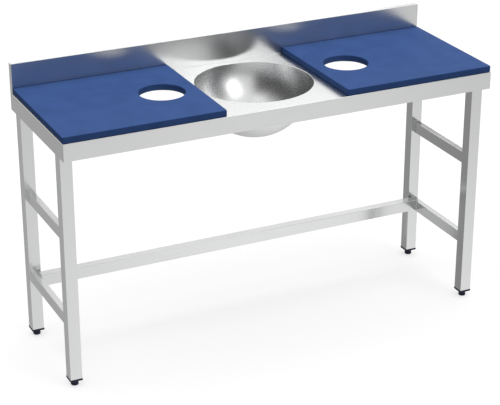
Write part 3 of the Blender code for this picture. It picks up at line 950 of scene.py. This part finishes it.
@dataclass
class Frame:
    """Four square legs, four end rails, the rear stretcher and the welds between them."""

    tube: Tube = Tube()
    collar: WeldCollar = WeldCollar()
    lap: float = 0.0075
    lap_sink: float = 0.0001

    def build(self) -> None:
        """Model the frame and hand it over."""
        self.build_legs()
        self.build_rails()
        self.build_stretcher()

    def build_legs(self) -> None:
        """Model one leg and copy it to the other corners."""
        names = [f"{row}_{end}_leg" for row in ROWS for end in ENDS]
        first = self.tube.make(f"{names[0]}_tube", *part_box(names[0]), 2)
        for name in names:
            hand_over(Bench.repeat(first, f"{name}_tube", names[0], name), Finish.LEG, name)

    def build_rails(self) -> None:
        """Model one end rail with a weld at each end, and copy them to the others' places."""
        names = [f"{end}_{level}_rail" for end in ENDS for level in ("lower", "upper")]
        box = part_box(names[0])
        rail, welds = self.tube.make(f"{names[0]}_tube", *box, 1), {}
        for row, side in ROWS.items():
            face = near_face(f"{row}_left_leg", side, 1)
            welds[row] = self.collar.make(f"{names[0]}_{row}_weld", *box, 1, side, face)
        for name in names:
            hand_over(Bench.repeat(rail, f"{name}_tube", names[0], name), Finish.END_RAIL, name)
            for row, weld in welds.items():
                hand_over(Bench.repeat(weld, f"{name}_{row}_weld", names[0], name), Finish.WELD)

    def build_stretcher(self) -> None:
        """Model the rear stretcher with a weld that closes each end."""
        low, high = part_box("rear_stretcher")
        piece = self.tube.make("rear_stretcher_tube", low, high, 0)
        hand_over(piece, Finish.STRETCHER, "rear_stretcher")
        for end, side in ENDS.items():
            face, rail_top = near_face(f"{end}_lower_rail", side, 0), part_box(f"{end}_lower_rail")[1][2]
            weld_high = (high[0], high[1], min(high[2], rail_top))
            weld = self.collar.make(f"rear_stretcher_{end}_weld", low, weld_high, 0, side, face)
            leg_face = near_face(f"back_{end}_leg", 1.0, 1)
            Bench.join(weld, self.make_lap(face, side, (low[1], rail_top), (leg_face, high[2])))
            hand_over(weld, Finish.WELD)

    def make_lap(self, face: float, side: float, low: tuple[float, float], high: tuple[float, float]) -> Piece:
        """Return the sloping weld that closes the stretcher's end where it stands above the rail.

        Args:
            face: The rail's inner face.
            side: -1 at the left end, 1 at the right end.
            low: Where the weld starts in Y, and the rail's top.
            high: Where the weld stops in Y, and the stretcher's top.

        Returns:
            The weld.
        """
        outer = face + side * self.lap
        ends = sorted((outer, face - side * self.collar.reach))
        piece = Bench.block("lap", (ends[0], low[0], low[1] - self.lap_sink), (ends[1], high[0], high[1]))
        Bench.edit(
            piece,
            Pick.POINTS,
            lambda point: abs(point.co.x - outer) < NEAR and point.co.z > low[1],
            bpy.ops.transform.translate,
            value=(0.0, 0.0, low[1] - high[1]),
        )
        Bench.shade(piece, SHARP_ON_FLATS)
        return piece


@dataclass
class LegEnds:
    """The caps in the legs' lower ends and the adjustable feet on their threaded studs."""

    flange_top: float = 0.0273
    flange_corner: float = 0.0022
    flange_edge: float = 0.0016
    plug_width: float = 0.0364
    plug_corner: float = 0.002
    plug_sink: float = 0.001
    bore: float = 0.0054
    foot_edge: float = 0.0015
    foot_heel: float = 0.6
    neck_radius: float = 0.0112
    socket_radius: float = 0.0053
    socket_floor: float = 0.0057
    thread_pitch: float = 0.0015
    thread_depth: float = 0.0009
    thread_foot: float = 0.0205
    thread_end: float = 0.003
    thread_root: float = 0.0002
    thread_steps: int = 24
    stud_chamfer: float = 0.001

    def build(self) -> None:
        """Model one cap, foot and stud and copy them to the other legs."""
        parts = {
            "cap": (self.make_cap(), "moulding", Finish.FOOT),
            "foot": (self.make_foot(), "moulding", Finish.FOOT),
            "foot_stud": (self.make_stud(), "thread", Finish.TURNED),
        }
        for corner in [f"{row}_{end}" for row in ROWS for end in ENDS]:
            for what, (part, suffix, finish) in parts.items():
                name = f"{corner}_{what}"
                piece = Bench.repeat(part, f"{name}_{suffix}", "front_left_leg", f"{corner}_leg")
                hand_over(piece, finish, name, body=TABLE_BODY if what == "cap" else f"{corner}_foot")

    def make_cap(self) -> Piece:
        """Return the cap of the front left leg."""
        low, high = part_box("front_left_cap")
        centre, half = (low + high) / 2, self.plug_width / 2
        flange = Bench.block("front_left_cap_moulding", low, (high[0], high[1], self.flange_top))
        Bench.soften(flange, self.flange_corner, CORNER_STEPS, lambda edge: runs_along(edge, 2))
        Bench.soften(flange, self.flange_edge, EDGE_STEPS, is_arris)
        plug_low = (centre.x - half, centre.y - half, self.flange_top - self.plug_sink)
        plug = Bench.block("plug", plug_low, (centre.x + half, centre.y + half, high[2]))
        Bench.soften(plug, self.plug_corner, FOLD_STEPS, lambda edge: runs_along(edge, 2))
        Bench.cut(flange, plug, "UNION")
        Bench.drill(flange, centre, self.bore, low[2] - CLEAR, high[2] + CLEAR, PIN_SIDES)
        Bench.shade(flange)
        return flange

    def make_foot(self) -> Piece:
        """Return the foot under the front left leg: a neck on a wider sole, with a socket for its stud."""
        _, top, radius, centre = upright("front_left_foot")
        edge = self.foot_edge
        profile = [(0.0, self.socket_floor), (self.socket_radius, self.socket_floor), (self.socket_radius, top)]
        profile += arc((self.neck_radius - edge, top - edge), (edge, edge), 90.0, 0.0, FOLD_STEPS)
        profile += arc((radius - edge, 2 * edge), (edge, edge), 0.0, -90.0, FOLD_STEPS)[:-1]
        profile += [(radius - edge, edge * self.foot_heel), (radius - 2 * edge, 0.0), (0.0, 0.0)]
        foot = Bench.turned("front_left_foot_moulding", profile, centre, TURNED_SIDES)
        Bench.shade(foot)
        return foot

    def make_stud(self) -> Piece:
        """Return the threaded stud of the front left foot."""
        foot, top, radius, centre = upright("front_left_foot_stud")
        root, tip, pitch = radius - self.thread_depth, self.stud_chamfer, self.thread_pitch
        core = [(0.0, top), (root - tip, top), (root, top - tip), (root, foot), (0.0, foot)]
        stud = Bench.turned("front_left_foot_stud_thread", core, centre, PIN_SIDES)
        inner, start = root - self.thread_root, self.thread_foot - pitch
        tooth = [(inner, start), (radius, start + pitch / 2), (inner, start + pitch)]
        thread = Bench.line("thread", tooth, (0.0, 0.0))
        Bench.close()
        Bench.apply(
            thread,
            "SCREW",
            axis="Z",
            angle=2 * math.pi,
            steps=self.thread_steps,
            render_steps=self.thread_steps,
            screw_offset=pitch,
            iterations=int((top - self.thread_end - start) / pitch),
            use_merge_vertices=False,
        )
        Bench.pick_up(thread)
        bpy.ops.transform.translate(value=(centre.x, centre.y, 0.0))
        bpy.ops.object.transform_apply(location=True, rotation=True, scale=True)
        Bench.open(thread)
        Bench.mend(NEAR)
        Bench.join(stud, thread)
        Bench.shade(stud, SHARP_ON_ROUNDS)
        return stud


@dataclass
class Waste:
    """The waste fitting in the bowl's bottom and the strainer that lifts out of it."""

    centre: tuple[float, float]
    flange_thickness: float = 0.002
    flange_width: float = 0.0035
    flange_drop: float = 0.0016
    flange_lip: float = 0.0003
    tube_radius: float = 0.02
    tube_chamfer: float = 0.0005
    tube_gap: float = 0.0003
    bore_radius: float = 0.0145
    ledge_radius: float = 0.0175
    ledge_height: float = 0.6819
    ledge_lip: float = 0.0006
    ledge_flare: float = 0.002
    nut_sides: int = 6
    nut_edge: float = 0.0008
    strainer_holes: int = 8
    strainer_hole_radius: float = 0.0018
    strainer_hole_circle: float = 0.0105
    plate_thickness: float = 0.0018
    plate_edge: float = 0.0005
    knob_radius: float = 0.004
    knob_turn: float = 153.0
    knob_foot: float = 0.0006
    seam: float = 0.0002

    def build(self) -> None:
        """Model the fitting's pieces and hand them over."""
        self.build_body()
        self.build_gaskets()
        self.build_nut()
        self.build_strainer()

    def build_body(self) -> None:
        """Model the body with its dished flange and its tube."""
        foot, top, radius, _ = upright("waste_body")
        underside, wide, deep = top - self.flange_thickness, self.flange_width, self.flange_drop
        ledge, lip, tube, bore, chamfer = (
            self.ledge_radius, self.ledge_lip, self.tube_radius, self.bore_radius, self.tube_chamfer
        )
        profile = [(ledge, self.ledge_height), (ledge, top - lip), (ledge + lip, top - self.seam)]
        profile += [(ledge + self.ledge_flare, top)]
        profile += arc((radius - wide, top - deep), (wide, deep), 90.0, 0.0, FLANGE_STEPS)
        profile += [(radius - self.flange_lip, underside), (tube, underside), (tube, foot + chamfer)]
        profile += [(tube - chamfer, foot), (bore + chamfer, foot), (bore, foot + chamfer)]
        profile += [(bore, self.ledge_height), (ledge, self.ledge_height)]
        piece = Bench.turned("waste_body_turning", profile, self.centre, TURNED_SIDES)
        Bench.shade(piece)
        hand_over(piece, Finish.TURNED, "waste_body")

    def build_gaskets(self) -> None:
        """Model the two rubber rings with rounded edges."""
        for name in ("waste_upper_gasket", "waste_lower_gasket"):
            foot, top, radius, _ = upright(name)
            half, inner = (top - foot) / 2, self.tube_radius + self.tube_gap
            edge = arc((radius - half, (foot + top) / 2), (half, half), 90.0, -90.0, CORNER_STEPS)
            profile = [(inner, foot), (inner, top), *edge, (inner, foot)]
            piece = Bench.turned(f"{name}_ring", profile, self.centre, RING_SIDES)
            Bench.shade(piece)
            hand_over(piece, Finish.GASKET, name)

    def build_nut(self) -> None:
        """Model the hexagon nut with rounded corners."""
        low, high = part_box("waste_nut")
        radius, inner = max(high[0] - low[0], high[1] - low[1]) / 2, self.tube_radius + self.tube_gap
        turn = math.pi / self.nut_sides
        piece = Bench.disc("waste_nut_hexagon", self.centre, radius, low[2], high[2], self.nut_sides, turn)
        Bench.drill(piece, self.centre, inner, low[2] - CLEAR, high[2] + CLEAR, RING_SIDES)
        Bench.soften(piece, self.nut_edge, EDGE_STEPS, lambda edge: is_arris(edge) or runs_along(edge, 2))
        Bench.shade(piece, SHARP_ON_FLATS)
        hand_over(piece, Finish.TURNED, "waste_nut")

    def build_strainer(self) -> None:
        """Model the strainer: a pierced plate with a knob to lift it by."""
        foot, top, radius, _ = upright("strainer")
        plate_top = foot + self.plate_thickness
        plate = Bench.disc("strainer_plate", self.centre, radius, foot, plate_top, RING_SIDES)
        Bench.soften(plate, self.plate_edge, EDGE_STEPS, is_arris)
        for index in range(self.strainer_holes):
            turn = 2 * math.pi * index / self.strainer_holes
            x = self.centre[0] + self.strainer_hole_circle * math.cos(turn)
            y = self.centre[1] + self.strainer_hole_circle * math.sin(turn)
            Bench.drill(plate, (x, y), self.strainer_hole_radius, foot - CLEAR, top, HOLE_SIDES)
        knob, neck, seat = self.knob_radius, self.knob_radius / 2, plate_top - self.seam
        head = arc((0.0, top - knob), (knob, knob), 90.0, 90.0 - self.knob_turn, RIM_STEPS)[1:]
        profile = [(0.0, top), *((max(neck, x), z) for x, z in head)]
        profile += [(neck, plate_top + self.knob_foot), (neck + self.knob_foot, seat), (0.0, seat)]
        Bench.join(plate, Bench.turned("strainer_knob", profile, self.centre, PIN_SIDES))
        plate.name = "strainer_plate_and_knob"
        Bench.shade(plate)
        hand_over(plate, Finish.TURNED, "strainer", body="strainer")


def dress_underside() -> None:
    """Give the stiffening channels and leg heads, which keep their CAD shape, their finish."""
    for name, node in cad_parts.items():
        for ending, finish in (("_channel", Finish.END_RAIL), ("_leg_head", Finish.WELD)):
            if name.endswith(ending):
                node.data.materials.clear()
                node.data.materials.append(finish.material)
                LOG.info("%s keeps its CAD shape", name)


@dataclass(frozen=True)
class Card:
    """A soft area of the studio's wall, painted over what lies behind it.

    Angles are in degrees: the azimuth runs clockwise from +Y, seen from above.
    """

    azimuth: float
    elevation: float
    half_width: float
    half_height: float
    softness: float
    brightness: float

    def paint(self, nodes: Nodes, way: Socket, height: Socket, level: Socket) -> Socket:
        """Paint the card over the room.

        Args:
            nodes: The world's nodes.
            way: The direction looked in.
            height: Its elevation in degrees.
            level: The brightness under the card.

        Returns:
            The brightness with the card.
        """
        ahead, aside = (nodes.dot(way, direction(self.azimuth + turn, 0.0)) for turn in (0.0, 90.0))
        turn = nodes.math("MULTIPLY", nodes.math("ARCTAN2", aside, ahead), TO_DEGREES)
        across = nodes.within(turn, self.half_width, self.softness)
        along = nodes.within(nodes.math("SUBTRACT", height, self.elevation), self.half_height, self.softness)
        return nodes.blend(nodes.math("MULTIPLY", across, along), level, self.brightness)


@dataclass(frozen=True)
class Softbox:
    """A soft-edged light panel, which only the steel reflects."""

    name: str
    target: Point
    azimuth: float
    elevation: float
    distance: float
    half_width: float
    half_height: float
    softness: float
    brightness: float

    def hang(self) -> None:
        """Hang the panel with its face towards its target."""
        way = direction(self.azimuth, self.elevation)
        panel = Bench.add(self.name, bpy.ops.mesh.primitive_plane_add, size=1.0)
        width, height = (2 * half + self.softness for half in (self.half_width, self.half_height))
        bpy.ops.transform.resize(value=(width, height, 1.0))
        bpy.ops.object.transform_apply(scale=True)
        panel.location = Vector(self.target) + way * self.distance
        panel.rotation_euler = (-way).to_track_quat("Z", "Y").to_euler()
        panel.data.materials.append(bpy.data.materials.new(f"{self.name}_cloth"))
        nodes, share = Nodes.of(panel.data.materials[0]), 1.0
        for axis, extent in (("X", self.half_width), ("Y", self.half_height)):
            inside = nodes.within(nodes.add("SeparateXYZ", axis, Vector=nodes.place()), extent, self.softness)
            share = nodes.math("MULTIPLY", share, inside)
        glow = nodes.add("Emission", Color=grey(1.0), Strength=self.brightness)
        nodes.show("Material", nodes.mix(share, nodes.add("BsdfTransparent"), glow))
        panel.visible_camera = panel.visible_diffuse = panel.visible_transmission = panel.visible_shadow = False


@dataclass
class Studio:
    """The camera, the white floor, the light panels and the graded white room."""

    # Azimuth, elevation, half width, half height, softness, brightness
    cards: tuple[Card, ...] = (
        Card(20.0, 20.0, 80.0, 22.0, 40.0, 1.0),
        Card(25.0, 45.0, 70.0, 14.0, 14.0, 1.5),
        Card(35.0, 14.0, 50.0, 5.5, 4.0, 2.1),
        Card(24.0, 23.5, 60.0, 2.0, 3.0, 0.7),
        Card(29.0, 24.0, 4.5, 1.5, 4.0, 0.92),
        Card(15.0, 25.5, 3.0, 2.5, 3.0, 0.55),
        Card(34.0, 19.0, 3.5, 3.5, 3.0, 0.1),
        Card(33.0, 28.0, 4.0, 2.0, 3.0, 2.1),
        Card(-60.0, -26.0, 26.0, 20.0, 30.0, 0.16),
        Card(153.5, -18.0, 4.5, 5.0, 4.0, 1.07),
        Card(154.0, -27.5, 5.0, 5.0, 4.0, 1.2),
        Card(-148.0, -22.0, 14.0, 8.0, 10.0, 0.42),
        Card(32.0, -24.0, 10.0, 8.0, 8.0, 1.25),
        Card(-155.0, 8.0, 25.0, 8.0, 12.0, 0.5),
        Card(150.0, 2.0, 50.0, 12.0, 14.0, 0.42),
        Card(120.0, 22.0, 17.0, 16.0, 14.0, 0.36),
        Card(-170.0, 33.0, 18.0, 14.0, 22.0, 0.95),
        Card(-103.0, 30.0, 52.0, 20.0, 24.0, 0.08),
        Card(-98.0, 50.0, 12.0, 4.0, 8.0, 0.3),
        Card(-135.0, 62.0, 22.0, 5.0, 8.0, 1.35),
        Card(-108.0, 4.0, 16.0, 3.5, 5.0, 0.75),
        Card(148.0, 20.5, 6.0, 5.0, 6.0, 0.1),
        Card(163.0, 29.0, 4.0, 3.0, 3.0, 1.3),
        Card(166.0, -27.5, 3.0, 2.5, 3.0, 0.75),
    )
    front_light: Card = Card(155.0, 34.0, 20.0, 16.0, 20.0, 2.2)
    panels: tuple[Softbox, ...] = (
        Softbox("front_softbox", (0.0, 0.0055, 0.8), 152.5, 36.0, 1.7, 0.29, 0.41, 0.33, 3.9),
        Softbox("rail_softbox", (0.718, 0.0, 0.22), -33.0, -24.5, 0.4, 0.085, 0.07, 0.03, 0.6),
    )
    overhead: float = 0.97
    low_far: float = 0.7
    low_near: float = 1.07
    low_back: float = 0.51
    low_band: tuple[float, float] = (-28.0, -17.0)
    horizon_band: tuple[float, float] = (-6.0, 10.0)
    bright_azimuth: float = 152.0
    bright_band: tuple[float, float] = (-0.8, 0.35)
    light_above: float = 2.3
    light_round: float = 0.06
    light_band: tuple[float, float] = (38.0, 66.0)
    floor_size: float = 24.0
    floor_glow: float = 0.7
    floor_paint: float = 0.36
    floor_bounce: float = 0.14
    camera_place: Point = (-2.1696, -4.5071, 2.6419)
    camera_azimuth: float = 25.528
    camera_drop: float = 23.929
    focal_pixels: float = 1624.0
    photograph_width: float = 500.0
    sensor: float = 36.0

    def build(self) -> None:
        """Make the studio."""
        bpy.context.scene.view_settings.view_transform = "Standard"
        self.place_camera()
        self.make_room()
        self.lay_floor()
        for panel in self.panels:
            panel.hang()

    def place_camera(self) -> None:
        """Put the camera where the photograph was taken from."""
        tilt, turn = math.radians(90.0 - self.camera_drop), math.radians(-self.camera_azimuth)
        bpy.ops.object.camera_add(location=self.camera_place, rotation=(tilt, 0.0, turn))
        camera = bpy.context.object
        camera.name = "photograph_side"
        camera.data.sensor_width = self.sensor
        camera.data.sensor_fit = "HORIZONTAL"
        camera.data.lens = self.focal_pixels / self.photograph_width * self.sensor
        bpy.context.scene.camera = camera

    def make_room(self) -> None:
        """Paint the room: white to the camera, graded to the steel and to the light."""
        world = bpy.data.worlds.new("studio_room")
        bpy.context.scene.world = world
        nodes = Nodes.of(world)
        way = nodes.add("TexCoord", "Generated")
        rise = nodes.add("SeparateXYZ", "Z", Vector=way)
        height = nodes.math("MULTIPLY", nodes.math("ARCSINE", rise), TO_DEGREES)
        facing = nodes.ramp(nodes.dot(way, direction(self.bright_azimuth, 0.0)), *self.bright_band)
        front = nodes.ramp(height, *self.low_band, self.low_near, self.low_far)
        low = nodes.blend(facing, self.low_back, front)
        level = nodes.blend(nodes.ramp(height, *self.horizon_band), low, self.overhead)
        for card in self.cards:
            level = card.paint(nodes, way, height, level)
        lamp = nodes.ramp(height, *self.light_band, self.light_round, self.light_above)
        lamp = self.front_light.paint(nodes, way, height, lamp)
        open_view, shown = nodes.views()
        light = nodes.add("Background", Color=lamp)
        white = nodes.add("Background", Color=nodes.blend(open_view, level, 1.0))
        nodes.show("World", nodes.mix(shown, light, white))

    def lay_floor(self) -> None:
        """Lay the white floor, which keeps the table's shadow."""
        floor = Bench.add("studio_floor", bpy.ops.mesh.primitive_plane_add, size=self.floor_size)
        floor.data.materials.append(bpy.data.materials.new("white_floor"))
        nodes = Nodes.of(floor.data.materials[0])
        paint = nodes.add("BsdfDiffuse", Color=grey(self.floor_paint))
        plain = nodes.add("BsdfDiffuse", Color=grey(self.floor_bounce))
        glow = nodes.add("Emission", Color=grey(1.0), Strength=self.floor_glow)
        lit = nodes.add("AddShader", in_0=paint, in_1=glow)
        nodes.show("Material", nodes.mix(nodes.views()[1], plain, lit))
        floor.visible_glossy = False


def main() -> None:
    """Build the studio and the table."""
    logging.basicConfig(level=logging.INFO, format="%(name)s: %(message)s")
    Studio().build()
    bowl = Bowl()
    bowl.build()
    Worktop(bowl).build()
    for end in ENDS:
        CuttingBoard(end).build()
    for assembly in (LocatingStuds(), Frame(), LegEnds(), Waste(bowl.centre)):
        assembly.build()
    dress_underside()
    Bench.put_down()


if __name__ == "__main__":
    main()
